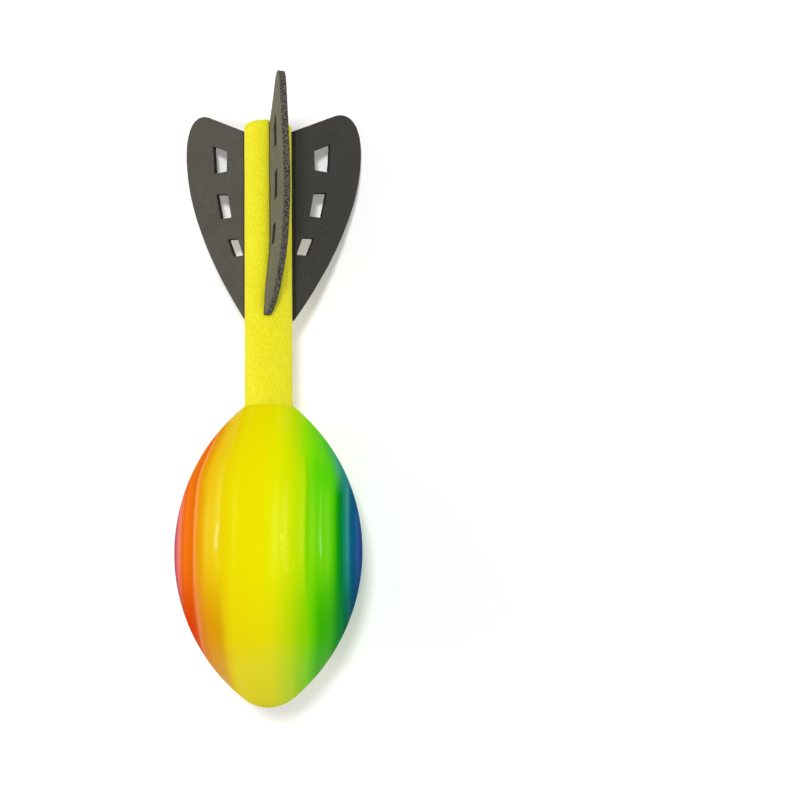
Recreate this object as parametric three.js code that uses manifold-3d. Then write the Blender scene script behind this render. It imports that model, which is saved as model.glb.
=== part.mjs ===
// A foam vortex throwing toy: a football-shaped foam head, a foam tube tail pushed into its rear end,
// and three flat foam fins whose root tabs sit in slits along the tail.
//
// Millimetres, +Z up. The toy lies at rest on the floor, on the belly of its head and on the edges of
// its two side fins, with its nose towards -Y. The origin is on the floor under the middle of the toy.
// Every piece is drawn along the toy's own axis, Y, with the head's widest place at zero, and the
// resting group at the end tilts the whole toy onto the floor.

import * as THREE from 'three';
import { mergeVertices } from 'three/addons/utils/BufferGeometryUtils.js';
import Module from 'manifold-3d';

// Head: the outline is one long arc with a rounded nose
const headRadius = 48.25;
const headArcRadius = 96.6;
const noseRadius = 20.5;
const socketDepth = 42;
const collarLip = 0.6;

// Tail tube, measured to its rear end from the head's widest place
const tailRadius = 12.5;
const tailReach = 225;
const tailRimRound = 1.9;
const boreRimRound = 0.6;

// Stiffening tube inside the tail
const coreRadius = 4;
const coreWall = 1;
const coreRecess = 14;

// Fins, cut from foam sheet: heights are above the tail's surface
const finThickness = 3;
const finRootLength = 102.5;
const finInset = 1.4;
const finHeight = 43.2;
const finFrontHeight = 1.8;
const tipOverhang = 14.7;
const tipDrop = 11.2;
const wideSetback = 19.5;
const tabDepth = 4;
const tabInset = 3;

// Glue line between pieces that are seated in each other
const seatGap = 0.3;
// How far a cutting shape runs past the piece it cuts
const cutOverrun = 2;
// Longest edge of a facet on the fin that leans
const bendStep = 9;

// Where the fins stand around the tail, from straight up towards +X
const sideFinDeg = 120;
// The top fin leans over; its front end is nearly upright and the lean settles over this length
const topFinFrontDeg = 4;
const topFinRearDeg = 17;
const topFinSettleLength = 40;

// Shape of the fin's outline, as shares of its own sizes
const trailingCornerShare = 0.92;
const trailingStraightShare = 0.9;
const tipHandleShare = 0.55;
const wideHandleShare = 0.7;
const leadRearHandleShare = 0.21;
const leadFrontHandleShares = { length: 0.463, height: 0.8 };

// Air slots in each fin. The place of a slot's corner nearest the nose and the tail is given in
// shares of the fin's root length and height, and its two long sides spread by the flare.
const slotCornerRadius = 0.6;
const slots = [
  { alongShare: 0.349, upShare: 0.078, length: 9.6, width: 6.2, slantDeg: 20.5, flareDeg: 2.3, rakeDeg: 4 },
  { alongShare: 0.562, upShare: 0.262, length: 13.1, width: 7.2, slantDeg: 10.5, flareDeg: 1.7, rakeDeg: 8 },
  { alongShare: 0.815, upShare: 0.336, length: 11.1, width: 8.5, slantDeg: -1, flareDeg: 5, rakeDeg: 26 },
];

// Counts of steps along curves
const headSteps = 64;
const tubeSteps = 48;
const arcSteps = 30;
const noseSteps = 6;
const rimSteps = 4;
const boreRimSteps = 2;
const leadSteps = 22;
const tipSteps = 8;
const cornerSteps = 2;
const tiltPasses = 48;

// Places that follow from the sizes
const socketRadius = tailRadius + seatGap;
const collarRadius = socketRadius + collarLip;
const arcOffset = headArcRadius - headRadius;
const collarReach = Math.sqrt(headArcRadius ** 2 - (arcOffset + collarRadius) ** 2);
const socketFloor = collarReach - socketDepth;
const tailFront = socketFloor + seatGap;
const boreRadius = coreRadius + seatGap;
const finRootRear = tailReach - finInset;
const finRootFront = finRootRear - finRootLength;
const tabRadius = tailRadius - tabDepth;
const tabFront = finRootFront + tabInset;
const tipReach = finRootRear + tipOverhang;
const wideRadius = tailRadius + finHeight;

const foamHead = new THREE.MeshStandardMaterial({ color: 0xf1dd08, roughness: 0.32, metalness: 0 });
const foamTail = new THREE.MeshStandardMaterial({ color: 0xf3e735, roughness: 0.9, metalness: 0 });
const foamFin = new THREE.MeshStandardMaterial({ color: 0x4b4842, roughness: 0.88, metalness: 0 });
const corePlastic = new THREE.MeshStandardMaterial({ color: 0xe9e6da, roughness: 0.5, metalness: 0 });

const { Manifold, Mesh: SolidMesh } = await loadSolids();

async function loadSolids() {
  const wasm = await Module();
  wasm.setup();
  return wasm;
}

// Points of a round stretch of a profile, without its first point where the stretch before ends there.
function arcPoints(x, y, radius, from, to, steps, first = 0) {
  const points = [];
  for (let i = first; i <= steps; i++) {
    const angle = from + ((to - from) * i) / steps;
    points.push(new THREE.Vector2(x + radius * Math.cos(angle), y + radius * Math.sin(angle)));
  }
  return points;
}

// A geometry of shared vertices with nothing but places.
function placesOnly(geometry) {
  const bare = geometry.clone();
  bare.deleteAttribute('normal');
  bare.deleteAttribute('uv');
  return mergeVertices(bare);
}

function solidOf(geometry) {
  const merged = placesOnly(geometry);
  const mesh = new SolidMesh({
    numProp: 3,
    vertProperties: new Float32Array(merged.attributes.position.array),
    triVerts: new Uint32Array(merged.index.array),
  });
  mesh.merge();
  return new Manifold(mesh);
}

function geometryOf(solid) {
  const mesh = solid.getMesh();
  const geometry = new THREE.BufferGeometry();
  geometry.setAttribute('position', new THREE.BufferAttribute(mesh.vertProperties, 3));
  geometry.setIndex(new THREE.BufferAttribute(mesh.triVerts, 1));
  geometry.computeVertexNormals();
  return geometry;
}

// Head: nose, long arc to the collar, then the blind socket that takes the tail.
function headGeometry() {
  const noseReach = Math.sqrt((headArcRadius - noseRadius) ** 2 - arcOffset ** 2);
  const noseAngle = -Math.atan2(noseReach, arcOffset);
  const collarAngle = Math.asin(collarReach / headArcRadius);
  const profile = [
    ...arcPoints(0, -noseReach, noseRadius, -Math.PI / 2, noseAngle, noseSteps),
    ...arcPoints(-arcOffset, 0, headArcRadius, noseAngle, collarAngle, arcSteps, 1),
    new THREE.Vector2(socketRadius, collarReach),
    new THREE.Vector2(socketRadius, socketFloor),
    new THREE.Vector2(0, socketFloor),
  ];
  profile[0].x = 0;
  return new THREE.LatheGeometry(profile, headSteps);
}

// Tail tube before its slits are cut: a thick foam tube with a softened rear rim.
function tubeGeometry() {
  const profile = [
    new THREE.Vector2(boreRadius, tailFront),
    new THREE.Vector2(tailRadius, tailFront),
    ...arcPoints(tailRadius - tailRimRound, tailReach - tailRimRound, tailRimRound, 0, Math.PI / 2, rimSteps),
    ...arcPoints(boreRadius + boreRimRound, tailReach - boreRimRound, boreRimRound,
      Math.PI / 2, Math.PI, boreRimSteps),
    new THREE.Vector2(boreRadius, tailFront),
  ];
  return new THREE.LatheGeometry(profile, tubeSteps);
}

function coreGeometry() {
  const front = tailFront;
  const rear = tailReach - coreRecess;
  const profile = [
    new THREE.Vector2(coreRadius - coreWall, front),
    new THREE.Vector2(coreRadius, front),
    new THREE.Vector2(coreRadius, rear),
    new THREE.Vector2(coreRadius - coreWall, rear),
    new THREE.Vector2(coreRadius - coreWall, front),
  ];
  return new THREE.LatheGeometry(profile, tubeSteps);
}

// Closed outline through the given corners, each rounded by the given radius.
function roundedPath(corners, radius) {
  const path = new THREE.Path();
  corners.forEach((corner, i) => {
    const before = corners.at(i - 1).clone().sub(corner).setLength(radius).add(corner);
    const after = corners[(i + 1) % corners.length].clone().sub(corner).setLength(radius).add(corner);
    const round = new THREE.QuadraticBezierCurve(before, corner, after).getPoints(cornerSteps);
    round.forEach((p, k) => (i + k === 0 ? path.moveTo(p.x, p.y) : path.lineTo(p.x, p.y)));
  });
  path.closePath();
  return path;
}

// One air slot, in the fin's plane: x is the distance from the axis and y runs along it.
function slotPath({ alongShare, upShare, length, width, slantDeg, flareDeg, rakeDeg }) {
  const slant = Math.tan(THREE.MathUtils.degToRad(slantDeg));
  const outerSlant = Math.tan(THREE.MathUtils.degToRad(slantDeg + flareDeg));
  const rake = Math.tan(THREE.MathUtils.degToRad(rakeDeg));
  const front = finRootFront + alongShare * finRootLength;
  const inner = tailRadius + upShare * finHeight;
  const outer = inner + width;
  const outerLength = (length + rake * (width - slant * length)) / (1 - rake * outerSlant);
  return roundedPath([
    new THREE.Vector2(inner, front),
    new THREE.Vector2(inner + slant * length, front + length),
    new THREE.Vector2(outer + outerSlant * outerLength, front + outerLength),
    new THREE.Vector2(outer, front),
  ], slotCornerRadius);
}

// Outline of a fin and its root tab, in the same plane as the slots.
function finOutline() {
  const shoulder = tailRadius + seatGap;
  const frontTop = new THREE.Vector2(tailRadius + finFrontHeight, finRootFront);
  const root = new THREE.Vector2(tailRadius, finRootRear);
  const tip = new THREE.Vector2(wideRadius - tipDrop, tipReach);
  const corner = new THREE.Vector2(tailRadius + trailingCornerShare * (tip.x - tailRadius), tipReach);
  const straightEnd = root.clone().lerp(corner, trailingStraightShare);
  const wide = new THREE.Vector2(wideRadius, tipReach - wideSetback);
  const chord = wide.y - frontTop.y;
  const rise = wide.x - frontTop.x;
  const trailing = new THREE.QuadraticBezierCurve(straightEnd, corner, tip);
  const lobe = new THREE.CubicBezierCurve(
    tip,
    new THREE.Vector2(tip.x + tipHandleShare * tipDrop, tip.y),
    new THREE.Vector2(wide.x, wide.y + wideHandleShare * wideSetback),
    wide,
  );
  const leading = new THREE.CubicBezierCurve(
    wide,
    new THREE.Vector2(wide.x, wide.y - leadRearHandleShare * chord),
    new THREE.Vector2(
      frontTop.x + leadFrontHandleShares.height * rise,
      frontTop.y + leadFrontHandleShares.length * chord,
    ),
    frontTop,
  );
  return [
    new THREE.Vector2(tabRadius, tabFront),
    new THREE.Vector2(tabRadius, finRootRear),
    root,
    ...trailing.getPoints(tipSteps),
    ...lobe.getPoints(tipSteps).slice(1),
    ...leading.getPoints(leadSteps).slice(1),
    new THREE.Vector2(shoulder, finRootFront),
    new THREE.Vector2(shoulder, tabFront),
  ];
}

// A flat plate of the given outline, centred on its own plane.
function plate(shape, thickness) {
  const geometry = new THREE.ExtrudeGeometry(shape, { depth: thickness, bevelEnabled: false });
  geometry.translate(0, 0, -thickness / 2);
  return geometry;
}

function finGeometry() {
  const shape = new THREE.Shape(finOutline().reverse());
  shape.holes = slots.map(slotPath);
  return plate(shape, finThickness);
}

// The slit that takes a fin's tab, open at the tail's rear end.
function slitGeometry() {
  const floor = tabRadius - seatGap;
  const front = tabFront - seatGap;
  const shape = new THREE.Shape([
    new THREE.Vector2(floor, front),
    new THREE.Vector2(tailRadius + cutOverrun, front),
    new THREE.Vector2(tailRadius + cutOverrun, tailReach + cutOverrun),
    new THREE.Vector2(floor, tailReach + cutOverrun),
  ]);
  return plate(shape, finThickness + 2 * seatGap);
}

// Halves every edge longer than a length, again and again, so that a plate can bend smoothly.
function refined(geometry, longest) {
  const bare = placesOnly(geometry);
  const places = [];
  for (let i = 0; i < bare.attributes.position.count; i++) {
    places.push(new THREE.Vector3().fromBufferAttribute(bare.attributes.position, i));
  }
  let faces = [];
  for (let i = 0; i < bare.index.count; i += 3) {
    faces.push([bare.index.getX(i), bare.index.getX(i + 1), bare.index.getX(i + 2)]);
  }
  const middles = new Map();
  const middleOf = (a, b) => {
    const key = `${Math.min(a, b)} ${Math.max(a, b)}`;
    if (!middles.has(key)) middles.set(key, places.push(places[a].clone().lerp(places[b], 0.5)) - 1);
    return middles.get(key);
  };
  const halves = (face) => {
    const lengths = face.map((v, i) => places[v].distanceTo(places[face[(i + 1) % 3]]));
    const most = Math.max(...lengths);
    if (most <= longest) return [face];
    const i = lengths.indexOf(most);
    const [a, b, c] = [face[i], face[(i + 1) % 3], face[(i + 2) % 3]];
    const m = middleOf(a, b);
    return [[a, m, c], [m, b, c]];
  };
  let before = 0;
  while (faces.length > before) {
    before = faces.length;
    faces = faces.flatMap(halves);
  }
  return new THREE.BufferGeometry().setFromPoints(places).setIndex(faces.flat());
}

// Turns a plate about the tail's axis, more towards its rear, as the top fin leans.
function leaned(geometry) {
  const bent = refined(geometry, bendStep);
  const axis = new THREE.Vector3(0, 1, 0);
  const places = bent.attributes.position;
  const place = new THREE.Vector3();
  for (let i = 0; i < places.count; i++) {
    place.fromBufferAttribute(places, i);
    const settled = THREE.MathUtils.smoothstep(place.y, finRootFront, finRootFront + topFinSettleLength);
    const degrees = THREE.MathUtils.lerp(topFinFrontDeg, topFinRearDeg, settled);
    place.applyAxisAngle(axis, THREE.MathUtils.degToRad(degrees));
    places.setXYZ(i, place.x, place.y, place.z);
  }
  bent.computeVertexNormals();
  return bent;
}

// Rotation about the tail's axis that stands a plate at an angle from straight up towards +X.
function finTurn(degrees) {
  return THREE.MathUtils.degToRad(degrees) - Math.PI / 2;
}

const fins = [
  { name: 'fin_top', turn: finTurn(0), shaped: leaned },
  { name: 'fin_left', turn: finTurn(-sideFinDeg), shaped: (geometry) => geometry },
  { name: 'fin_right', turn: finTurn(sideFinDeg), shaped: (geometry) => geometry },
];

function tailGeometry() {
  let tail = solidOf(tubeGeometry());
  for (const { turn, shaped } of fins) {
    const slit = shaped(slitGeometry()).rotateY(turn);
    tail = tail.subtract(solidOf(slit));
  }
  return geometryOf(tail);
}

// Tilt at which the head's belly and the side fins' edges touch the same floor.
function restingTilt() {
  const down = -Math.cos(THREE.MathUtils.degToRad(sideFinDeg));
  const across = Math.sin(THREE.MathUtils.degToRad(sideFinDeg)) * (finThickness / 2);
  const outline = finOutline();
  const finDepth = (tilt) => Math.max(
    ...outline.map((p) => p.y * Math.sin(tilt) + (p.x * down + across) * Math.cos(tilt)),
  );
  const headDepth = (tilt) => headArcRadius - arcOffset * Math.cos(tilt);
  let low = 0;
  let high = Math.PI / 4;
  for (let i = 0; i < tiltPasses; i++) {
    const middle = (low + high) / 2;
    if (finDepth(middle) < headDepth(middle)) low = middle;
    else high = middle;
  }
  return low;
}

function piece(name, geometry, material) {
  const mesh = new THREE.Mesh(geometry, material);
  mesh.name = name;
  return mesh;
}

const resting = new THREE.Group();
resting.add(piece('head', headGeometry(), foamHead));
resting.add(piece('tail_tube', tailGeometry(), foamTail));
resting.add(piece('core_tube', coreGeometry(), corePlastic));
for (const { name, turn, shaped } of fins) {
  const fin = piece(name, shaped(finGeometry()), foamFin);
  fin.rotation.y = turn;
  resting.add(fin);
}
resting.rotation.x = -restingTilt();

// Set the toy down: floor at zero height, middle of its footprint over the origin
const toy = new THREE.Group();
toy.add(resting);
const reach = new THREE.Box3().setFromObject(toy, true);
const middle = reach.getCenter(new THREE.Vector3());
resting.position.set(-middle.x, -middle.y, -reach.min.z);

export default toy;
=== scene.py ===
"""A foam vortex throwing toy, dressed and lit for its picture.

The toy is a moulded foam football with a foam tube tail pushed into its rear end and three foam
fins, die-cut from sheet, whose root tabs sit in slits along the tail. It lies at rest on the belly
of its head and on the edges of its two side fins.

Sizes are in millimetres along the toy's own axis: Y runs from the nose to the tail with zero at the
head's widest place, and Z is up. Every piece is placed by the toy's resting lie.
"""

import logging
import math
from dataclasses import dataclass
from enum import Enum
from typing import Any, Iterable, Mapping, Sequence

import bmesh
import bpy
from mathutils import Matrix, Vector, noise
from mathutils.geometry import delaunay_2d_cdt


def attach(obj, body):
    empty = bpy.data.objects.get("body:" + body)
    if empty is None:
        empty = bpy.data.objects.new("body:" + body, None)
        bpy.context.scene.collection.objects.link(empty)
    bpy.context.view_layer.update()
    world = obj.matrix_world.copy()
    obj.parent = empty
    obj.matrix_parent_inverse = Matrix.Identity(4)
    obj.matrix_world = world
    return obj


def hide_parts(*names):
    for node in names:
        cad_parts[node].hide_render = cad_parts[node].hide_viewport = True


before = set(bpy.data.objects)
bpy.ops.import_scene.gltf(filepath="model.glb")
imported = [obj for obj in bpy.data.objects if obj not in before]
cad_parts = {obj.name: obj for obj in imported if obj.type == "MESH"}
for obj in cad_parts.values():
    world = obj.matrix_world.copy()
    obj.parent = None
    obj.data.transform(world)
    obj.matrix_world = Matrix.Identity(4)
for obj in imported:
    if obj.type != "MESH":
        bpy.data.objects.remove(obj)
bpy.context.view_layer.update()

BODY = "root"
MM = 0.001
AXIS_WIDTH = 1e-9

Bands = tuple[tuple[float, str], ...]

log = logging.getLogger("throwing toy")


def linear(code: str) -> tuple[float, float, float, float]:
    """Turns a colour as it is seen into the numbers that a shader takes.

    Args:
        code: Six hexadecimal digits, red first.

    Returns:
        Red, green, blue and a full alpha.
    """
    seen = [int(code[i : i + 2], 16) / 255 for i in (0, 2, 4)]
    red, green, blue = ((c / 12.92 if c <= 0.04045 else ((c + 0.055) / 1.055) ** 2.4) for c in seen)
    return (red, green, blue, 1.0)


@dataclass(frozen=True)
class RestingLie:
    """Where the toy's own axis lies when the toy rests on the floor."""

    place: tuple[float, float, float] = (0.0, -81.0526, 48.4340)
    tilt_deg: float = 4.9997

    @property
    def origin(self) -> Vector:
        """The toy's own zero in the part's frame, in metres."""
        return Vector(self.place) * MM

    @property
    def turn(self) -> Vector:
        """The toy's turn as Euler angles."""
        return Vector((math.radians(-self.tilt_deg), 0, 0))

    def matrix(self) -> Matrix:
        """Takes the toy's own metres to the part's frame."""
        return Matrix.Translation(self.origin) @ Matrix.Rotation(self.turn.x, 4, "X")


LIE = RestingLie()


@dataclass(frozen=True)
class Grain:
    """A layer of soft noise: bumps to a metre, or a stretch for each axis, and its finer detail."""

    scale: float = 1.0
    stretch: tuple[float, float, float] | None = None
    detail: float = 2.0
    roughness: float = 0.5


class Wire:
    """One output of a finish's nodes. Sums written on it add their Math nodes."""

    def __init__(self, shop: "NodeShop", socket: bpy.types.NodeSocket | None) -> None:
        """Keeps the socket, and the shop that adds the nodes after it."""
        self.shop = shop
        self.socket = socket

    def sum(self, operation: str, *values: "Wire | float") -> "Wire":
        """Adds one Math node.

        Args:
            operation: Blender's name of the sum.
            values: What the sum works on, in order.

        Returns:
            The sum's result.
        """
        return self.shop.node("ShaderNodeMath", {"operation": operation}, dict(enumerate(values)))

    def __add__(self, other: "Wire | float") -> "Wire":
        """This plus another value."""
        return self.sum("ADD", self, other)

    def __radd__(self, other: float) -> "Wire":
        """A number plus this."""
        return self.sum("ADD", other, self)

    def __sub__(self, other: "Wire | float") -> "Wire":
        """This less another value."""
        return self.sum("SUBTRACT", self, other)

    def __rsub__(self, other: float) -> "Wire":
        """A number less this."""
        return self.sum("SUBTRACT", other, self)

    def __mul__(self, other: "Wire | float") -> "Wire":
        """This times another value."""
        return self.sum("MULTIPLY", self, other)

    def __rmul__(self, other: float) -> "Wire":
        """A number times this."""
        return self.sum("MULTIPLY", other, self)

    def __truediv__(self, other: "Wire | float") -> "Wire":
        """This divided by another value."""
        return self.sum("DIVIDE", self, other)

    def __pow__(self, other: "Wire | float") -> "Wire":
        """This to a power."""
        return self.sum("POWER", self, other)

    def eased(self, start: float, end: float) -> "Wire":
        """Rises from 0 at start to 1 at end in a soft S, also where end is the lower.

        Args:
            start: The value that gives 0.
            end: The value that gives 1.

        Returns:
            The eased share.
        """
        low, high = min(start, end), max(start, end)
        share = self.shop.node(
            "ShaderNodeMapRange",
            {"interpolation_type": "SMOOTHSTEP"},
            {"Value": self, "From Min": low, "From Max": high},
        )
        return share if start < end else 1 - share


class NodeShop:
    """Adds nodes to the tree of one material or of the world."""

    def __init__(self, tree: bpy.types.NodeTree) -> None:
        """Clears the tree."""
        tree.nodes.clear()
        self.tree = tree

    def node(
        self,
        kind: str,
        settings: Mapping[str, Any] | None = None,
        inputs: Mapping[str | int, Any] | None = None,
        output: str | int = 0,
    ) -> Wire:
        """Adds one node.

        Args:
            kind: The node's type.
            settings: Its own settings, which are set first; "stops" fills a ramp.
            inputs: The value of each socket, or the wire that feeds it.
            output: The output that is wanted.

        Returns:
            That output.
        """
        made = self.tree.nodes.new(kind)
        for name, value in (settings or {}).items():
            if name == "stops":
                self.fill_ramp(made.color_ramp, value)
            else:
                setattr(made, name, value)
        for key, value in (inputs or {}).items():
            if isinstance(value, Wire):
                self.tree.links.new(value.socket, made.inputs[key])
            else:
                made.inputs[key].default_value = value
        return Wire(self, made.outputs[output] if len(made.outputs) else None)

    @staticmethod
    def fill_ramp(ramp: bpy.types.ColorRamp, stops: Sequence[tuple[float, str]]) -> None:
        """Gives a ramp its stops.

        Args:
            ramp: The ramp.
            stops: Each stop's place, from 0 to 1, and its colour.
        """
        while len(ramp.elements) < len(stops):
            ramp.elements.new(1.0)
        for element, (place, code) in zip(ramp.elements, stops):
            element.position = place
            element.color = linear(code)

    def ramp(self, share: Wire, stops: Sequence[tuple[float, str]]) -> Wire:
        """A colour that changes with a share from 0 to 1."""
        return self.node("ShaderNodeValToRGB", {"stops": stops}, {0: share})

    def mixed(self, share: Wire | float, first: Wire | str, second: Wire | str) -> Wire:
        """Mixes two colours, each a wire or a colour's code.

        Args:
            share: How much of the second.
            first: The colour at share 0.
            second: The colour at share 1.

        Returns:
            The mixed colour.
        """
        first, second = (linear(c) if isinstance(c, str) else c for c in (first, second))
        inputs = {0: share, 6: first, 7: second}
        return self.node("ShaderNodeMix", {"data_type": "RGBA"}, inputs, output=2)

    def place(self) -> tuple[Wire, Wire, Wire, Wire]:
        """Where a point lies along and across the toy's own axis.

        Returns:
            The place in metres, then its three numbers in millimetres.
        """
        inputs = {
            "Vector": self.node("ShaderNodeTexCoord", output="Object"),
            "Location": LIE.origin,
            "Rotation": LIE.turn,
        }
        at = self.node("ShaderNodeMapping", {"vector_type": "TEXTURE"}, inputs)
        x, y, z = (self.node("ShaderNodeSeparateXYZ", {}, {0: at}, output=i) / MM for i in range(3))
        return at, x, y, z

    def shown(self) -> Wire:
        """Tells what the camera sees, straight or through something clear.

        Returns:
            1 where it sees it and 0 elsewhere.
        """
        seen = self.node("ShaderNodeLightPath", output="Is Camera Ray")
        through = self.node("ShaderNodeLightPath", output="Is Transmission Ray")
        return seen.sum("MAXIMUM", seen, through)

    def stretched(self, at: Wire, scale: tuple[float, float, float]) -> Wire:
        """The place times a scale for each direction."""
        return self.node("ShaderNodeVectorMath", {"operation": "MULTIPLY"}, {0: at, 1: scale})

    def grain(self, at: Wire, layer: Grain) -> Wire:
        """Soft noise from 0 to 1.

        Args:
            at: The place.
            layer: The noise's size and detail.

        Returns:
            The noise.
        """
        inputs = {
            "Vector": self.stretched(at, layer.stretch) if layer.stretch else at,
            "Scale": layer.scale,
            "Detail": layer.detail,
            "Roughness": layer.roughness,
        }
        return self.node("ShaderNodeTexNoise", {}, inputs)

    def cells(self, at: Wire, scale: float) -> Wire:
        """How far a place is from the middle of its foam cell, in cells, of so many to a metre."""
        return self.node("ShaderNodeTexVoronoi", {}, {"Vector": at, "Scale": scale})

    def bumped(self, height: Wire, depth: float, strength: float = 1.0) -> Wire:
        """A normal that follows a height from 0 to 1.

        Args:
            height: The height.
            depth: What a height of 1 measures, in millimetres.
            strength: How much of it shows.

        Returns:
            The normal.
        """
        inputs = {"Height": height, "Distance": depth * MM, "Strength": strength}
        return self.node("ShaderNodeBump", {}, inputs)

    def principled(self, sockets: Mapping[str, Any]) -> Wire:
        """The shader of a surface, from what its sockets take."""
        return self.node("ShaderNodeBsdfPrincipled", {}, sockets)

    def surface(self, shader: Wire) -> None:
        """Makes a shader the surface of the material."""
        self.node("ShaderNodeOutputMaterial", {}, {"Surface": shader})


@dataclass(frozen=True)
class Ease:
    """A soft rise from 0 at one value to its most at another, which may be the lower one."""

    start: float
    end: float
    most: float = 1.0

    def of(self, value: Wire) -> Wire:
        """The share that a value gets."""
        share = value.eased(self.start, self.end)
        return share if self.most == 1 else share * self.most


@dataclass(frozen=True)
class Patch:
    """A patch of the ball with four soft sides, in millimetres across and along it."""

    left: Ease
    right: Ease
    front: Ease
    rear: Ease

    def of(self, across: Wire, along: Wire) -> Wire:
        """How far a point lies in the patch."""
        sides = self.left.of(across) * self.right.of(across)
        return sides * self.front.of(along) * self.rear.of(along)


class Finish:
    """What every finish shares: it makes its material once and names it after itself."""

    title: str = "finish"

    def material(self) -> bpy.types.Material:
        """Makes the finish's material the first time that it is asked for.

        Returns:
            The material.
        """
        made = bpy.data.materials.get(self.title)
        if made is None:
            made = bpy.data.materials.new(self.title)
            made.use_nodes = True
            shop = NodeShop(made.node_tree)
            shop.surface(self.shader(shop))
        return made

    def shader(self, shop: NodeShop) -> Wire:
        """Builds the finish's nodes.

        Args:
            shop: Adds nodes to the finish's material.

        Returns:
            The shader that covers the surface.
        """
        raise NotImplementedError


@dataclass(frozen=True)
class SprayedFoam(Finish):
    """Glossy moulded foam skin, sprayed in soft lengthwise bands across the ball.

    Each band is a place across the ball, in millimetres, and its colour. The shoulder's bands take
    the place of the rear ones on its green side, behind. The gloss and highlight lines are places
    where the skin is glossier, from black for none to white, and where a pale painted highlight is
    mixed into the colour at mid-length. Pale painted glints on the top and a pale painted sheen
    toward the nose are painted reflection too. The eases are in millimetres along or across the
    ball, where they aren't of a noise or a cell.
    """

    title: str = "sprayed_foam_skin"
    half_width: float = 48.6
    rear_bands: Bands = (
        (-48.4, "a42a68"), (-46.4, "b04060"), (-44.0, "d86870"), (-42.6, "f68474"),
        (-41.0, "f27c4c"), (-39.6, "e86a1c"), (-38.0, "f67816"), (-33.4, "e46e04"),
        (-32.2, "fba052"), (-31.3, "f09628"), (-30.0, "e69c08"), (-25.4, "eec010"),
        (-17.0, "ecd404"), (-12.0, "eee002"), (1.0, "f1e600"), (8.0, "ebee02"),
        (15.5, "d4ea02"), (21.5, "b4e906"), (22.5, "86da02"), (25.0, "82e006"),
        (27.6, "6eda02"), (32.4, "68d80a"), (34.8, "50cc04"), (36.8, "0a9c06"),
        (38.6, "00822a"), (41.4, "229488"), (43.2, "066688"), (44.8, "0c5884"),
        (46.4, "2a609c"), (48.4, "2e3884"),
    )
    nose_bands: Bands = (
        (-48.4, "a42a68"), (-44.6, "a83850"), (-42.0, "d05446"), (-40.0, "dc4c18"),
        (-38.0, "e03e04"), (-34.0, "de4806"), (-32.4, "e05c28"), (-31.0, "f08a56"),
        (-29.4, "e08628"), (-25.0, "e4980e"), (-19.4, "dea406"), (-16.0, "ecca10"),
        (-12.6, "f0dc0a"), (0.0, "f0e20a"), (5.0, "ece40c"), (10.0, "d8e40c"),
        (15.0, "c0e00a"), (18.6, "a0da08"), (22.6, "84da06"), (25.0, "64ce04"),
        (28.0, "3eb802"), (32.6, "3eb410"), (36.0, "1e9224"), (40.0, "0a7048"),
        (43.6, "065468"), (48.4, "1a3a74"),
    )
    shoulder_bands: Bands = (
        (15.5, "d4ea02"), (19.0, "bee806"), (22.5, "a2ea02"), (25.5, "88e806"),
        (28.5, "7ae20c"), (31.5, "6cdc1a"), (34.2, "54ce20"), (36.4, "58bc64"),
        (39.0, "40a088"), (42.0, "1c7c94"), (45.0, "24689c"), (48.4, "2e3884"),
    )
    # gloss lines: a glossier coat, and also where a pale painted highlight goes into the colour
    gloss_and_highlight_lines: Bands = (
        (-28.0, "000000"), (-25.2, "909090"), (-22.6, "707070"), (-19.4, "e0e0e0"),
        (-17.6, "202020"), (-13.2, "000000"), (-11.4, "a0a0a0"), (-9.0, "000000"),
        (5.0, "000000"), (8.6, "b0b0b0"), (10.4, "505050"), (13.0, "b8b8b8"),
        (15.4, "000000"), (18.4, "000000"), (20.6, "909090"), (22.0, "000000"),
        (23.6, "000000"), (25.0, "707070"), (27.0, "404040"), (28.4, "303030"),
        (29.1, "a0a0a0"), (29.8, "404040"), (30.6, "505050"), (32.6, "888888"),
        (34.4, "202020"), (40.6, "000000"), (41.8, "707070"), (43.2, "000000"),
    )
    nose_part: Ease = Ease(2, -38)
    behind: Ease = Ease(34, 72)
    ahead: Ease = Ease(-38, -64)
    rear_draw: float = 0.3
    nose_draw: float = 0.06
    rear_shift: float = -2.2
    nose_shift: float = 1.1
    drift: Grain = Grain(stretch=(40, 9, 40), detail=1.0)
    drift_reach: float = 1.8
    streak: Grain = Grain(stretch=(420, 8, 420), roughness=0.55)
    streak_reach: float = 0.7
    shoulder_side: Ease = Ease(15, 18)
    shoulder_green: Ease = Ease(36, 56)
    shoulder_blue: Ease = Ease(26, 44)
    green_to_blue: Ease = Ease(33, 37)
    fresh: str = "44dc00"
    fresh_patch: Patch = Patch(Ease(22, 28), Ease(37, 33), Ease(12, 38), Ease(60, 44, 0.5))
    # painted reflection: a pale sheen mixed in toward the nose
    thin: str = "fff8d8"
    painted_sheen_nose: Ease = Ease(-38, -60, 0.035)
    # painted highlight: the pale colour mixed in along the gloss lines and in the glints
    painted_highlight: str = "fcfc3c"
    painted_highlight_front: Ease = Ease(-22, 0)
    painted_highlight_rear: Ease = Ease(44, 20, 0.34)
    broken: Grain = Grain(stretch=(60, 22, 60))
    unbroken: Ease = Ease(0.30, 0.60)
    least_line: float = 0.35
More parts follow.
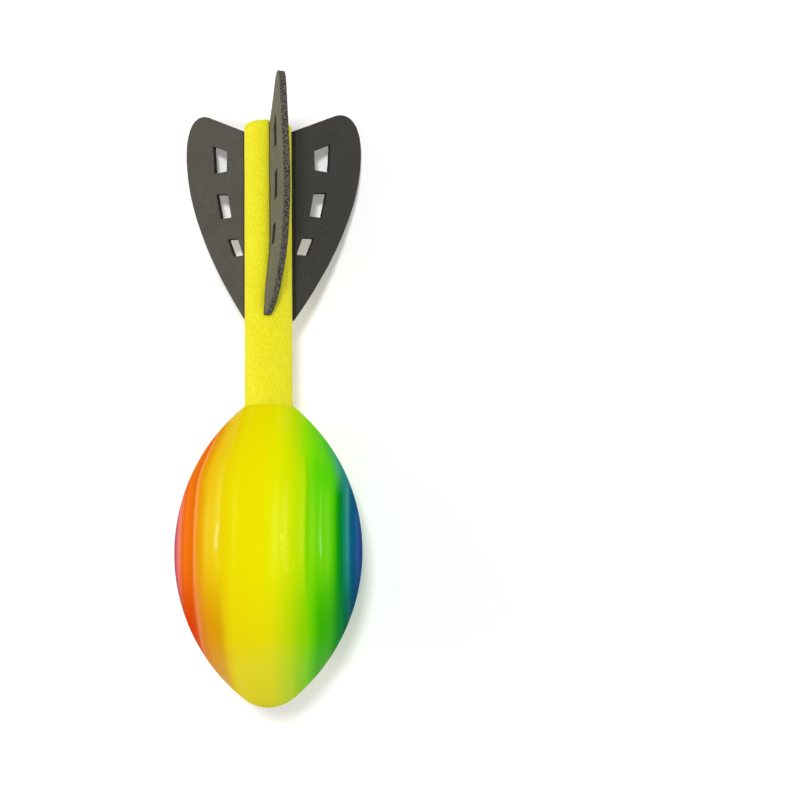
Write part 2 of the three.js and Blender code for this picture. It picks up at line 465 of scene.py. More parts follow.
    # painted glints: pale specks of painted highlight on the ball's top
    painted_glint_stretch: tuple[float, float, float] = (330, 150, 330)
    painted_glint_size: Ease = Ease(0.40, 0.12)
    painted_glint_grain: Grain = Grain(150, detail=1.0)
    painted_glint_spread: Ease = Ease(0.44, 0.54, 0.6)
    painted_glint_patch: Patch = Patch(Ease(-2, 5), Ease(19, 12), Ease(-14, 0), Ease(26, 12))
    skin: Grain = Grain(900, detail=3.0, roughness=0.6)
    ripple: Grain = Grain(stretch=(150, 6, 150), detail=1.0)
    pits_to_metre: float = 190
    pit_size: Ease = Ease(0.12, 0.02)
    relief: float = 0.13
    ripple_height: float = 0.9
    skin_height: float = 0.05
    pit_depth: float = 0.1
    roughness: float = 0.42
    roughness_spread: float = 0.10
    coat: float = 0.02
    line_coat: float = 0.60
    coat_roughness: float = 0.11
    coat_ior: float = 1.4

    def share(self, place: float | Wire) -> float | Wire:
        """A place across the ball as a share of its width."""
        return (place + self.half_width) / (2 * self.half_width)

    def banded(self, shop: NodeShop, across: Wire, bands: Bands) -> Wire:
        """The colour of some bands at a place across the ball."""
        return shop.ramp(self.share(across), [(self.share(place), code) for place, code in bands])

    def across(self, shop: NodeShop, at: Wire, x: Wire, y: Wire) -> Wire:
        """Where a point lies among the bands, which wander and are drawn in behind and ahead.

        Args:
            shop: Adds nodes to the finish's material.
            at: The point's place, in metres.
            x: Its place across the ball, in millimetres.
            y: Its place along the ball.

        Returns:
            The place across the ball, in millimetres, of the band that it has.
        """
        behind, ahead = self.behind.of(y), self.ahead.of(y)
        drawn = x * (1 + self.rear_draw * behind + self.nose_draw * ahead)
        moved = drawn + self.rear_shift * behind + self.nose_shift * ahead
        drift = self.drift_reach * (shop.grain(at, self.drift) - 0.5)
        return moved + drift + self.streak_reach * (shop.grain(at, self.streak) - 0.5)

    def painted(self, shop: NodeShop, across: Wire, y: Wire) -> Wire:
        """The colour of the sprayed bands, with a pale painted sheen toward the nose.

        Args:
            shop: Adds nodes to the finish's material.
            across: Where a point lies among the bands, in millimetres.
            y: Its place along the ball.

        Returns:
            The colour.
        """
        rear = self.banded(shop, across, self.rear_bands)
        rear = shop.mixed(self.fresh_patch.of(across, y), rear, self.fresh)
        green, blue = self.shoulder_green.of(y), self.shoulder_blue.of(y)
        turned = green + (blue - green) * self.green_to_blue.of(across)
        shoulder = self.banded(shop, across, self.shoulder_bands)
        rear = shop.mixed(self.shoulder_side.of(across) * turned, rear, shoulder)
        nose = self.banded(shop, across, self.nose_bands)
        colour = shop.mixed(self.nose_part.of(y), rear, nose)
        # painted reflection: the pale sheen toward the nose
        return shop.mixed(self.painted_sheen_nose.of(y), colour, self.thin)

    def painted_glints(self, shop: NodeShop, at: Wire, across: Wire, y: Wire) -> Wire:
        """How much of a point is covered by painted glints: pale specks of painted highlight.

        Args:
            shop: Adds nodes to the finish's material.
            at: The point's place, in metres.
            across: Where it lies among the bands, in millimetres.
            y: Its place along the ball.

        Returns:
            The share.
        """
        speck = self.painted_glint_size.of(shop.cells(shop.stretched(at, self.painted_glint_stretch), 1.0))
        spread = self.painted_glint_spread.of(shop.grain(at, self.painted_glint_grain))
        return speck * spread * self.painted_glint_patch.of(across, y)

    def shader(self, shop: NodeShop) -> Wire:
        """Builds the finish's nodes.

        Args:
            shop: Adds nodes to the finish's material.

        Returns:
            The shader that covers the surface.
        """
        at, x, y, _ = shop.place()
        across = self.across(shop, at, x, y)
        whole = self.unbroken.of(shop.grain(at, self.broken))
        line = self.banded(shop, across, self.gloss_and_highlight_lines)
        line = line * (self.least_line + (1 - self.least_line) * whole)
        # painted highlight: the pale colour mixed in along the gloss lines, at mid-length on the
        # ball
        painted_highlight_span = self.painted_highlight_front.of(y) * self.painted_highlight_rear.of(y)
        colour = shop.mixed(line * painted_highlight_span, self.painted(shop, across, y), self.painted_highlight)
        # painted glints: pale specks of the highlight colour
        colour = shop.mixed(self.painted_glints(shop, at, across, y), colour, self.painted_highlight)
        skin = shop.grain(at, self.skin)
        ripple = shop.grain(at, self.ripple)
        pit = self.pit_size.of(shop.cells(at, self.pits_to_metre))
        height = ripple * self.ripple_height + skin * self.skin_height - pit * self.pit_depth
        return shop.principled(
            {
                "Base Color": colour,
                "Roughness": self.roughness + (skin - 0.5) * self.roughness_spread,
                "Specular IOR Level": 0.0,
                "Coat Weight": self.coat + line * self.line_coat,
                "Coat Roughness": self.coat_roughness,
                "Coat IOR": self.coat_ior,
                "Normal": shop.bumped(height, self.relief),
            }
        )


@dataclass(frozen=True)
class MattFoam(Finish):
    """What the matt foams share: a fine grain, round cells and soft clouds.

    The two heights share out the relief, which is in millimetres, and a part of it shows.
    """

    title: str = "matt_foam"
    base: str = "808080"
    pale: str = "909090"
    deep: str = "707070"
    fine: Grain = Grain(1100, roughness=0.6)
    cloud: Grain = Grain(90)
    cells_to_metre: float = 900.0
    by_fine: Ease = Ease(0.45, 0.70, 0.8)
    by_cell: Ease = Ease(0.35, 0.70, 0.4)
    by_cloud: Ease = Ease(0.40, 0.75, 0.25)
    relief: float = 0.16
    relief_shown: float = 0.8
    fine_height: float = 0.5
    cell_height: float = 0.5
    roughness: float = 0.78
    roughness_rise: float = 0.2
    specular: float = 0.3

    def coloured(self, shop: NodeShop, place: Sequence[Wire], fine: Wire, cell: Wire) -> Wire:
        """The colour, paler by the grain and deeper by the cells and the clouds.

        Args:
            shop: Adds nodes to the finish's material.
            place: Where the point lies, as the shop gives it.
            fine: The grain at the point.
            cell: How far it is from the middle of its cell.

        Returns:
            The colour.
        """
        colour = shop.mixed(self.by_fine.of(fine), self.base, self.pale)
        colour = shop.mixed(self.by_cell.of(cell), colour, self.deep)
        return shop.mixed(self.by_cloud.of(shop.grain(place[0], self.cloud)), colour, self.deep)

    def roughened(self, fine: Wire, cell: Wire) -> Wire | float:
        """The roughness, which rises with the grain."""
        return self.roughness + fine * self.roughness_rise

    def plain(self) -> dict[str, Any]:
        """What takes one value all over the surface."""
        return {"Specular IOR Level": self.specular}

    def shader(self, shop: NodeShop) -> Wire:
        """Builds the finish's nodes.

        Args:
            shop: Adds nodes to the finish's material.

        Returns:
            The shader that covers the surface.
        """
        place = shop.place()
        fine = shop.grain(place[0], self.fine)
        cell = shop.cells(place[0], self.cells_to_metre)
        height = fine * self.fine_height + cell * self.cell_height
        return shop.principled(
            {
                "Base Color": self.coloured(shop, place, fine, cell),
                "Roughness": self.roughened(fine, cell),
                "Normal": shop.bumped(height, self.relief, self.relief_shown),
                **self.plain(),
            }
        )


@dataclass(frozen=True)
class TubeFoam(MattFoam):
    """Matt extruded foam: fine closed cells under a thin skin, which lets light through."""

    title: str = "extruded_foam"
    base: str = "f8ea28"
    pale: str = "fdf34c"
    deep: str = "e9d90f"
    light_through: float = 0.7
    light_reach: float = 0.012
    light_reach_share: tuple[float, float, float] = (1.0, 0.9, 0.35)

    def roughened(self, fine: Wire, cell: Wire) -> Wire | float:
        """The roughness, which rises with the cells."""
        return self.roughness + cell * self.roughness_rise

    def plain(self) -> dict[str, Any]:
        """What takes one value all over, with the light inside the foam.

        Returns:
            The sockets and their values.
        """
        return {
            **super().plain(),
            "Subsurface Weight": self.light_through,
            "Subsurface Radius": self.light_reach_share,
            "Subsurface Scale": self.light_reach,
        }


@dataclass(frozen=True)
class SheetSkin(MattFoam):
    """The matt skin of foam sheet: charcoal, closed, with a fine tooth, and painted shade along its
    root beside the tail.
    """

    title: str = "foam_sheet_skin"
    base: str = "54524a"
    pale: str = "625f57"
    deep: str = "44423c"
    # painted shade: the dark colour laid along the root, beside the tail
    painted_root_shade: str = "211f1b"
    fine: Grain = Grain(1500, detail=3.0, roughness=0.65)
    cloud: Grain = Grain(70)
    cells_to_metre: float = 1400.0
    by_fine: Ease = Ease(0.40, 0.70, 0.7)
    by_cell: Ease = Ease(0.45, 0.75, 0.6)
    by_cloud: Ease = Ease(0.35, 0.75, 0.25)
    by_painted_root_shade: Ease = Ease(16.2, 14.8, 0.85)
    relief: float = 0.09
    fine_height: float = 0.6
    cell_height: float = 0.4
    roughness: float = 0.72
    specular: float = 0.2

    def coloured(self, shop: NodeShop, place: Sequence[Wire], fine: Wire, cell: Wire) -> Wire:
        """The foam's colour, with painted shade darkening it along the root beside the tail.

        Args:
            shop: Adds nodes to the finish's material.
            place: Where the point lies, as the shop gives it.
            fine: The grain at the point.
            cell: How far it is from the middle of its cell.

        Returns:
            The colour.
        """
        _, x, _, z = place
        colour = super().coloured(shop, place, fine, cell)
        # painted shade, darker close to the tail's axis
        return shop.mixed(self.by_painted_root_shade.of((x * x + z * z) ** 0.5), colour, self.painted_root_shade)


@dataclass(frozen=True)
class ShadedSheetSkin(SheetSkin):
    """The sheet's other face, a little darker: painted shade on the right fin's top and the top
    fin's right face.
    """

    title: str = "foam_sheet_painted_shade"
    base: str = "3f3d39"
    pale: str = "4c4a45"
    deep: str = "343230"


@dataclass(frozen=True)
class LitSheetSkin(SheetSkin):
    """A paler, yellower copy of the sheet's skin: painted light on the top fin's left face, where
    more light falls from the left.
    """

    title: str = "foam_sheet_painted_light"
    base: str = "6c6955"
    pale: str = "8e8a72"
    deep: str = "48463a"
    # painted shade along the root, beside the tail
    by_painted_root_shade: Ease = Ease(15.4, 13.2, 0.85)


@dataclass(frozen=True)
class CutFoam(MattFoam):
    """The die-cut edge of foam sheet: open cells, dark inside, with paler torn walls."""

    title: str = "foam_sheet_cut"
    base: str = "575249"
    pale: str = "807b73"
    deep: str = "181615"
    fine: Grain = Grain(2000, roughness=0.6)
    cells_to_metre: float = 1050.0
    wander: Grain = Grain(600)
    wander_reach: float = 0.35
    by_fine: Ease = Ease(0.50, 0.66, 0.8)
    by_cell: Ease = Ease(0.54, 0.26)
    relief: float = 0.35
    relief_shown: float = 0.9
    fine_height: float = 0.2
    cell_height: float = 0.8
    roughness: float = 0.85

    def coloured(self, shop: NodeShop, place: Sequence[Wire], fine: Wire, cell: Wire) -> Wire:
        """The colour, deep in the hollow of each cell and pale where a wall is torn.

        Args:
            shop: Adds nodes to the finish's material.
            place: Where the point lies, as the shop gives it.
            fine: The grain at the point.
            cell: How far it is from the middle of its cell.

        Returns:
            The colour.
        """
        wander = (shop.grain(place[0], self.wander) - 0.5) * self.wander_reach
        hollow = self.by_cell.of(cell + wander)
        colour = shop.mixed(hollow, self.base, self.deep)
        return shop.mixed(self.by_fine.of(fine) * (1 - hollow), colour, self.pale)

    def roughened(self, fine: Wire, cell: Wire) -> Wire | float:
        """The roughness, the same all over."""
        return self.roughness


@dataclass(frozen=True)
class ShadedSlotFoam(CutFoam):
    """The walls of the air slots, cut as the edge is and darker all over: painted shade, where the
    walls lie in shadow.
    """

    title: str = "foam_sheet_slot_painted_shade"
    base: str = "2e2b26"
    pale: str = "45413b"
    deep: str = "12100f"


@dataclass(frozen=True)
class CorePlastic(Finish):
    """Plain extruded plastic with faint lines from the die."""

    title: str = "core_plastic"
    base: str = "e6e2d4"
    worn: str = "cfc9b6"
    lines: Grain = Grain(stretch=(1800, 12, 1800))
    dust: Grain = Grain(260, detail=3.0)
    by_dust: Ease = Ease(0.45, 0.75, 0.6)
    relief: float = 0.03
    relief_shown: float = 0.6
    roughness: float = 0.38
    roughness_rise: float = 0.2

    def shader(self, shop: NodeShop) -> Wire:
        """Builds the finish's nodes.

        Args:
            shop: Adds nodes to the finish's material.

        Returns:
            The shader that covers the surface.
        """
        at, _, _, _ = shop.place()
        lines = shop.grain(at, self.lines)
        dust = self.by_dust.of(shop.grain(at, self.dust))
        return shop.principled(
            {
                "Base Color": shop.mixed(dust, self.base, self.worn),
                "Roughness": self.roughness + lines * self.roughness_rise,
                "Normal": shop.bumped(lines, self.relief, self.relief_shown),
            }
        )


@dataclass(frozen=True)
class PaleFloor(Finish):
    """The pale studio floor, which shows white to the camera and keeps the toy's shadow."""

    title: str = "pale_floor"
    base: str = "f3f3f4"
    worn: str = "f7f7f7"
    white: str = "ffffff"
    mottle: Grain = Grain(3.0)
    mottle_share: float = 0.5
    roughness: float = 0.9
    lift: float = 0.235
    far: Ease = Ease(380, 950)

    def glow(self, shop: NodeShop, strength: float) -> Wire:
        """A white glow of a strength."""
        inputs = {"Color": linear(self.white), "Strength": strength}
        return shop.node("ShaderNodeEmission", {}, inputs)

    def shader(self, shop: NodeShop) -> Wire:
        """Builds the finish's nodes.

        Args:
            shop: Adds nodes to the finish's material.

        Returns:
            The shader that covers the surface.
        """
        at, x, y, _ = shop.place()
        far = self.far.of((x * x + y * y) ** 0.5)
        share = shop.grain(at, self.mottle) * self.mottle_share
        colour = shop.mixed(share, self.base, self.worn)
        floor = shop.principled({"Base Color": colour, "Roughness": self.roughness})
        shown = shop.shown()
        lifted = shop.node("ShaderNodeAddShader", {}, {0: floor, 1: self.glow(shop, self.lift)})
        near = shop.node("ShaderNodeMixShader", {}, {0: shown, 1: floor, 2: lifted})
        inputs = {0: shown * far, 1: near, 2: self.glow(shop, 1.0)}
        return shop.node("ShaderNodeMixShader", {}, inputs)


def arc(x: float, y: float, radius: float, start: float, end: float, steps: int) -> list[Vector]:
    """Points on a round stretch of a profile.

    Args:
        x: The centre's distance from the axis.
        y: The centre's place along the axis.
        radius: The stretch's radius.
        start: The first point's angle, in radians.
        end: The last point's angle.
        steps: How many straight pieces stand for it.

    Returns:
        The points, both ends among them.
    """
    angles = [start + (end - start) * i / steps for i in range(steps + 1)]
    return [Vector((x + radius * math.cos(a), y + radius * math.sin(a))) for a in angles]


def straight(start: Vector, end: Vector, step: float) -> list[Vector]:
    """Points on a straight stretch, no further apart than a step, without its two ends."""
    count = max(1, math.ceil((end - start).length / step))
    return [start.lerp(end, i / count) for i in range(1, count)]


def bezier(handles: Sequence[Vector], steps: int) -> list[Vector]:
    """Points on a Bezier curve of any degree, both ends among them.

    Args:
        handles: The curve's handles, its ends among them.
        steps: How many straight pieces stand for it.

    Returns:
        The points.
    """

    def point(share: float) -> Vector:
        """Finds a point by going the same share between the handles, again and again.

        Args:
            share: How far along the curve, from 0 to 1.

        Returns:
            The point.
        """
        left = [handle.copy() for handle in handles]
        while len(left) > 1:
            left = [a.lerp(b, share) for a, b in zip(left, left[1:])]
        return left[0]

    return [point(i / steps) for i in range(steps + 1)]


def respaced(loop: Sequence[Vector], step: float) -> list[Vector]:
    """Adds points along the sides of a closed loop, so that none is longer than a step.

    Args:
        loop: The closed loop.
        step: The most between two points.

    Returns:
        The loop with its new points.
    """
    found: list[Vector] = []
    for here, there in zip(loop, [*loop[1:], loop[0]]):
        found += [here, *straight(here, there, step)]
    return found


def smoothstep(value: float, low: float, high: float) -> float:
    """Rises from 0 at low to 1 at high in a soft S."""
    share = min(1.0, max(0.0, (value - low) / (high - low)))
    return share * share * (3 - 2 * share)


def meshed(name: str, shape: bmesh.types.BMesh) -> bpy.types.Mesh:
    """Makes a mesh of a shape, which is used up.

    Args:
        name: The mesh's name.
        shape: The shape, in metres.

    Returns:
        The mesh.
    """
    mesh = bpy.data.meshes.new(name)
    shape.to_mesh(mesh)
    shape.free()
    return mesh


def placed(name: str, data: bpy.types.ID) -> bpy.types.Object:
    """Puts a new object in the scene.

    Args:
        name: The object's name.
        data: Its mesh, lamp or camera.

    Returns:
        The object.
    """
    made = bpy.data.objects.new(name, data)
    bpy.context.scene.collection.objects.link(made)
    return made


def dimple(at: Vector, size: tuple[float, float], start: float = 0.0) -> float:
    """Soft noise at a point, of a width across the axis and a length along it."""
    width, length = size
    return noise.noise(Vector((at.x / width, at.y / length + start, at.z / width)))


@dataclass
class Piece:
    """One piece of the toy: its name, the CAD node that it stands for and its material slot.

    Its edges are sharp where their faces meet at its sharp angle or more.
    """

    name: str
    node: str
    slot: str
    sharp_deg: float = 40.0

    def smooth(self, mesh: bpy.types.Mesh) -> None:
        """Shades a mesh smooth, apart from its sharp edges."""
        mesh.polygons.foreach_set("use_smooth", [True] * len(mesh.polygons))
        mesh.set_sharp_from_angle(angle=math.radians(self.sharp_deg))

    def cast(self, shape: bmesh.types.BMesh, finishes: Sequence[Finish]) -> bpy.types.Object:
        """Makes an object of a shape in millimetres.

        Args:
            shape: The shape, which is used up.
            finishes: The finish of each material number in the shape.

        Returns:
            The object, lying as the toy rests.
        """
        bmesh.ops.transform(shape, matrix=LIE.matrix() @ Matrix.Scale(MM, 4), verts=shape.verts)
        mesh = meshed(self.name, shape)
        self.smooth(mesh)
        for finish in finishes:
            mesh.materials.append(finish.material())
        return placed(self.name, mesh)

    def hand_over(self, made: bpy.types.Object) -> bpy.types.Object:
        """Lets the piece ride on the toy's body in the place of its CAD node.

        Args:
            made: The piece's object.

        Returns:
            The same object.
        """
        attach(made, BODY)
        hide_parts(self.node)
        return made


def on_axis(point: Vector) -> bool:
    """Whether a profile's point lies on the toy's axis."""
    return point.x < AXIS_WIDTH


def spun(profile: Sequence[Vector], steps: int, closed: bool = False) -> bmesh.types.BMesh:
    """Turns a profile about the toy's axis.

    Args:
        profile: Distance from the axis and place along it, in order.
        steps: Faces round the axis.
        closed: Whether the last point joins the first.

    Returns:
        The turned shape.
    """
    shape = bmesh.new()
    turns = [2 * math.pi * i / steps for i in range(steps)]
    rings: list[list[bmesh.types.BMVert]] = []
    for point in profile:
        if on_axis(point):
            rings.append([shape.verts.new((0, point.y, 0))] * steps)
            continue
        ways = [(math.sin(a), math.cos(a)) for a in turns]
        rings.append([shape.verts.new((point.x * s, point.y, point.x * c)) for s, c in ways])
    pairs = list(zip(rings, rings[1:]))
    if closed:
        pairs.append((rings[-1], rings[0]))
    for near, far in pairs:
        for i in range(steps):
            corners = [near[i], near[(i + 1) % steps], far[(i + 1) % steps], far[i]]
            distinct = list(dict.fromkeys(corners))
            if len(distinct) > 2:
                shape.faces.new(distinct)
    bmesh.ops.recalc_face_normals(shape, faces=shape.faces)
    return shape


@dataclass
class FootballHead(Piece):
    """The moulded foam football, with the socket that takes the tail in its rear end.

    Its skin ripples in long waves, which turn with the ball, and in dents of a width and a length,
    and lies a little sunk on the whole.
    """

    name: str = "football_head"
    node: str = "head"
    slot: str = "head_foam"
    radius: float = 48.25
    arc_radius: float = 96.6
    nose_radius: float = 20.5
    socket_radius: float = 12.56
    socket_depth: float = 42.0
    lip_round: float = 0.42
    nose_steps: int = 14
    arc_steps: int = 84
    lip_steps: int = 6
    wall_step: float = 8.0
    steps_round: int = 192
    ripple: float = 0.09
    wave_share: float = 0.6
    wave_turns: float = 4.5
    wave_length: float = 55.0
    dent_share: float = 0.9
    dent_size: tuple[float, float] = (22.0, 30.0)
    dent_start: float = 9.0
    sink: float = 0.5
    sharp_deg: float = 55.0
    finish: SprayedFoam = SprayedFoam()

    @property
    def arc_offset(self) -> float:
        """How far the long arc's centre lies beyond the axis."""
        return self.arc_radius - self.radius

    def profile(self) -> list[Vector]:
        """The head's outline from the tip of its nose, round the lip, to the socket's floor.

        Returns:
            Points with the distance from the axis and the place along it.
        """
        nose_y = -math.sqrt((self.arc_radius - self.nose_radius) ** 2 - self.arc_offset**2)
        nose_angle = math.atan2(nose_y, self.arc_offset)
        lip_x = self.socket_radius + self.lip_round
        lip_y = math.sqrt((self.arc_radius - self.lip_round) ** 2 - (self.arc_offset + lip_x) ** 2)
        lip_angle = math.atan2(lip_y, self.arc_offset + lip_x)
        floor_y = lip_y - self.socket_depth
        mouth = Vector((self.socket_radius, lip_y))
        corner = Vector((self.socket_radius, floor_y))
        outline = arc(0, nose_y, self.nose_radius, -math.pi / 2, nose_angle, self.nose_steps)
        long_arc = arc(-self.arc_offset, 0, self.arc_radius, nose_angle, lip_angle, self.arc_steps)
        outline += long_arc[1:]
        outline += arc(lip_x, lip_y, self.lip_round, lip_angle, math.pi, self.lip_steps)[1:]
        outline += [*straight(mouth, corner, self.wall_step), corner, Vector((0, floor_y))]
        outline[0].x = 0
        return outline

    def build(self) -> bpy.types.Object:
        """Builds the head, with the faint lengthwise ripples of its moulded skin.

        Returns:
            The head.
        """
        shape = spun(self.profile(), self.steps_round)
        for vert in shape.verts:
            reach = math.hypot(vert.co.x, vert.co.z)
            if reach < self.socket_radius + 2 * self.lip_round:
                continue
            x, y, z = vert.co
            out = Vector((x, 0, z)) / reach
            turned = Vector((x / reach * self.wave_turns, y, z / reach * self.wave_turns))
            wave = dimple(turned, (1.0, self.wave_length))
            dent = dimple(vert.co, self.dent_size, self.dent_start)
            depth = self.wave_share * wave + self.dent_share * dent - self.sink
            vert.co += out * self.ripple * depth
        return self.hand_over(self.cast(shape, [self.finish]))


@dataclass(frozen=True)
class Lean:
    """How a fin stands along the tail: its root's turn about the axis, and its free sheet's tilt.

    The turn goes from its front value to its rear one over a run, and the tilt is given at some
    places. The sheet bends from the turn to the tilt over a short way outside the tail.
    """

    front_deg: float = 0.0
    rear_deg: float = 0.0
    start: float = 121.1
    run: float = 40.0
    tilts: tuple[tuple[float, float], ...] = ((0.0, 0.0),)
    bend_start: float = 12.5
    bend_run: float = 4.0
    bend_steps: int = 8

    def turn(self, along: float) -> float:
        """The root's turn at a place along the axis, in radians."""
        share = smoothstep(along, self.start, self.start + self.run)
        return math.radians(self.front_deg + (self.rear_deg - self.front_deg) * share)

    def tilt(self, along: float) -> float:
        """Finds the free sheet's tilt at a place along the axis.

        Args:
            along: The place.

        Returns:
            The tilt, in a straight line between the places that are given.
        """
        if along <= self.tilts[0][0]:
            return math.radians(self.tilts[0][1])
        for (near, first), (far, second) in zip(self.tilts, self.tilts[1:]):
            if along <= far:
                return math.radians(first + (second - first) * (along - near) / (far - near))
        return math.radians(self.tilts[-1][1])

    def carried(self, point: Vector, heading: float) -> Vector:
        """Takes a point of the flat sheet to its place round the tail.

        Args:
            point: Distance from the axis, place along it and height above the sheet's middle.
            heading: Where the fin stands round the tail, in radians from straight up.

        Returns:
            The point's place.
        """
        reach, along, lift = point
        turn, tilt = self.turn(along), self.tilt(along)
        across, up = math.sin(heading + turn), math.cos(heading + turn)
        held = min(reach, self.bend_start)
        x, z = held * across, held * up
        step = (reach - held) / self.bend_steps
        for i in range(self.bend_steps if step else 0):
            share = smoothstep((i + 0.5) * step, 0, self.bend_run)
            angle = heading + turn + (tilt - turn) * share
            across, up = math.sin(angle), math.cos(angle)
            x += step * across
            z += step * up
        return Vector((x - lift * up, along, z + lift * across))


@dataclass
class CutSheet:
    """A flat sheet cut to an outline with openings, its cut edges softened.

    The steps are the most between points on its edges and inside it. The points inside stay clear
    of the rims by a share of their step, and the cut's flat part has two rings at a share of it.
    Where the edge turns sharply, the inset stops growing.
    """

    outline: list[Vector]
    openings: list[list[Vector]]
    thickness: float
    softening: float = 0.0
    edge_step: float = 0.9
    grid_step: float = 2.6
    clear_share: float = 0.7
    ring_share: float = 0.34
    rim_rings: int = 3
    sharpest: float = 0.5
    weld: float = 1e-5
    least_way: float = 1e-6

    @staticmethod
    def area(loop: Sequence[Vector]) -> float:
        """Twice the loop's signed area, above 0 where it runs anticlockwise."""
        return sum(a.x * b.y - b.x * a.y for a, b in zip(loop, [*loop[1:], loop[0]]))

    @staticmethod
    def inside(loop: Sequence[Vector], point: Vector) -> bool:
        """Counts the crossings of a loop to one side of a point.

        Args:
            loop: The closed loop.
            point: The point.

        Returns:
            Whether it lies inside.
        """
        found = False
        for a, b in zip(loop, [*loop[1:], loop[0]]):
            if (a.y > point.y) != (b.y > point.y):
                if point.x < a.x + (point.y - a.y) / (b.y - a.y) * (b.x - a.x):
                    found = not found
        return found

    def inset(self, loop: Sequence[Vector], depth: float) -> list[Vector]:
        """Moves a loop into the sheet.

        Args:
            loop: The loop, with the sheet on its left.
            depth: How far it moves.

        Returns:
            The moved loop.
        """
        count = len(loop)
        moved = []
        for i, here in enumerate(loop):
            before = (here - loop[i - 1]).normalized()
            after = (loop[(i + 1) % count] - here).normalized()
            way = Vector((-(before.y + after.y), before.x + after.x))
            length = way.length
            way = way / length if length > self.least_way else Vector((-before.y, before.x))
            moved.append(here + way * depth / max(self.sharpest, length / 2))
        return moved

    def rims(self) -> list[list[Vector]]:
        """Makes each cut edge a closely spaced loop.

        Returns:
            The outline and then the openings, each with the sheet on its left.
        """
        loops = [self.outline if self.area(self.outline) > 0 else self.outline[::-1]]
        loops += [hole if self.area(hole) < 0 else hole[::-1] for hole in self.openings]
        return [respaced(loop, self.edge_step) for loop in loops]

    def filled(self, loops: Sequence[Sequence[Vector]]) -> tuple[list[Vector], list[list[int]]]:
        """Fills the sheet between its rims with even triangles.

        Args:
            loops: The rims of the flat part; the outline first.

        Returns:
            The points, with those of the rims first and in order, and the triangles.
        """
        points = [p for loop in loops for p in loop]
        edges: list[tuple[int, int]] = []
        first = 0
        for loop in loops:
            edges += [(first + i, first + (i + 1) % len(loop)) for i in range(len(loop))]
            first += len(loop)
        step = self.grid_step
        low = [min(p[i] for p in loops[0]) for i in (0, 1)]
        high = [max(p[i] for p in loops[0]) for i in (0, 1)]
        rows = math.ceil((high[1] - low[1]) / step)
        columns = math.ceil((high[0] - low[0]) / step)
        for row in range(rows + 1):
            for column in range(columns + 1):
                spot = Vector((low[0] + (column + 0.5 * (row % 2)) * step, low[1] + row * step))
                gap = min((spot - p).length for p in points[:first])
                if gap > self.clear_share * step and self.holds(loops, spot):
                    points.append(spot)
        found = delaunay_2d_cdt(points, edges, [], 0, self.weld)
        places = [Vector(p) for p in found[0]]
        owners = [number for number, loop in enumerate(loops) for _ in loop]
        return places, [list(face) for face in found[2] if self.is_sheet(face, places, owners)]

    def is_sheet(
        self, face: Sequence[int], places: Sequence[Vector], owners: Sequence[int]
    ) -> bool:
        """Whether a triangle is part of the sheet.

        Args:
            face: The triangle's corners.
            places: Every corner's place.
            owners: The rim that each of the first corners lies on.

        Returns:
            Not if all its corners lie on one rim and run clockwise along it.
        """
        if max(face) >= len(owners) or len({owners[i] for i in face}) > 1:
            return True
        return self.area([places[i] for i in sorted(face)]) > 0

    def holds(self, loops: Sequence[Sequence[Vector]], point: Vector) -> bool:
        """Tells if a point lies in the sheet and in none of its openings.

        Args:
            loops: The outline and then the openings.
            point: The point.

        Returns:
            Whether it is in the sheet.
        """
        if not self.inside(loops[0], point):
            return False
        return not any(self.inside(hole, point) for hole in loops[1:])

    def shape(self) -> bmesh.types.BMesh:
        """Builds the sheet, whose skins wrap round the softened rims of its openings.

        Returns:
            The sheet, with material 0 above, 2 below, 1 on its cut edge and 3 in its openings.
        """
        rims = self.rims()
        flat = [self.inset(rim, self.softening) for rim in rims] if self.softening else rims
        places, triangles = self.filled(flat)
        half = self.thickness / 2
        shape = bmesh.new()
        upper = [shape.verts.new((p.x, p.y, half)) for p in places]
        lower = [shape.verts.new((p.x, p.y, -half)) for p in places]
        for face in triangles:
            shape.faces.new([upper[i] for i in face])
            shape.faces.new([lower[i] for i in reversed(face)]).material_index = 2
        first = 0
        for rim in rims:
            last = first + len(rim)
            materials = (0, 3, 2) if first else (1, 1, 1)
            self.wall(shape, rim, upper[first:last], lower[first:last], materials)
            first = last
        bmesh.ops.recalc_face_normals(shape, faces=shape.faces)
        return shape

    def wall(
        self,
        shape: bmesh.types.BMesh,
        rim: Sequence[Vector],
        top: Sequence[bmesh.types.BMVert],
        bottom: Sequence[bmesh.types.BMVert],
        materials: tuple[int, int, int],
    ) -> None:
        """Adds the cut edge along one rim.

        Args:
            shape: The sheet's shape.
            rim: The full outline of the cut.
            top: The upper skin's points along it.
            bottom: The lower skin's points along it.
            materials: The material number of its upper softened rim, its middle and its lower rim.
        """
        half = self.thickness / 2
        count = self.rim_rings if self.softening else 0
        angles = [math.pi / 2 * (i + 1) / count for i in range(count)]
        drops = [self.softening * (1 - math.cos(angle)) for angle in angles]
        depths = [self.softening * (1 - math.sin(angle)) for angle in angles]
        levels = [(depth, half - drop) for depth, drop in zip(depths, drops)]
        ring = self.ring_share * (half - self.softening)
        middle = [(0.0, ring), (0.0, -ring)]
        rings = [list(top)]
        for depth, height in [*levels, *middle, *[(d, -h) for d, h in reversed(levels)]]:
            loop = self.inset(rim, depth) if depth else rim
            rings.append([shape.verts.new((p.x, p.y, height)) for p in loop])
        rings.append(list(bottom))
        upper, middle_cut, lower = materials
        numbers = [upper] * len(levels) + [middle_cut] * 3 + [lower] * len(levels)
        for near, far, number in zip(rings, rings[1:], numbers):
            for i in range(len(rim)):
                j = (i + 1) % len(rim)
                shape.faces.new([near[i], far[i], far[j], near[j]]).material_index = number


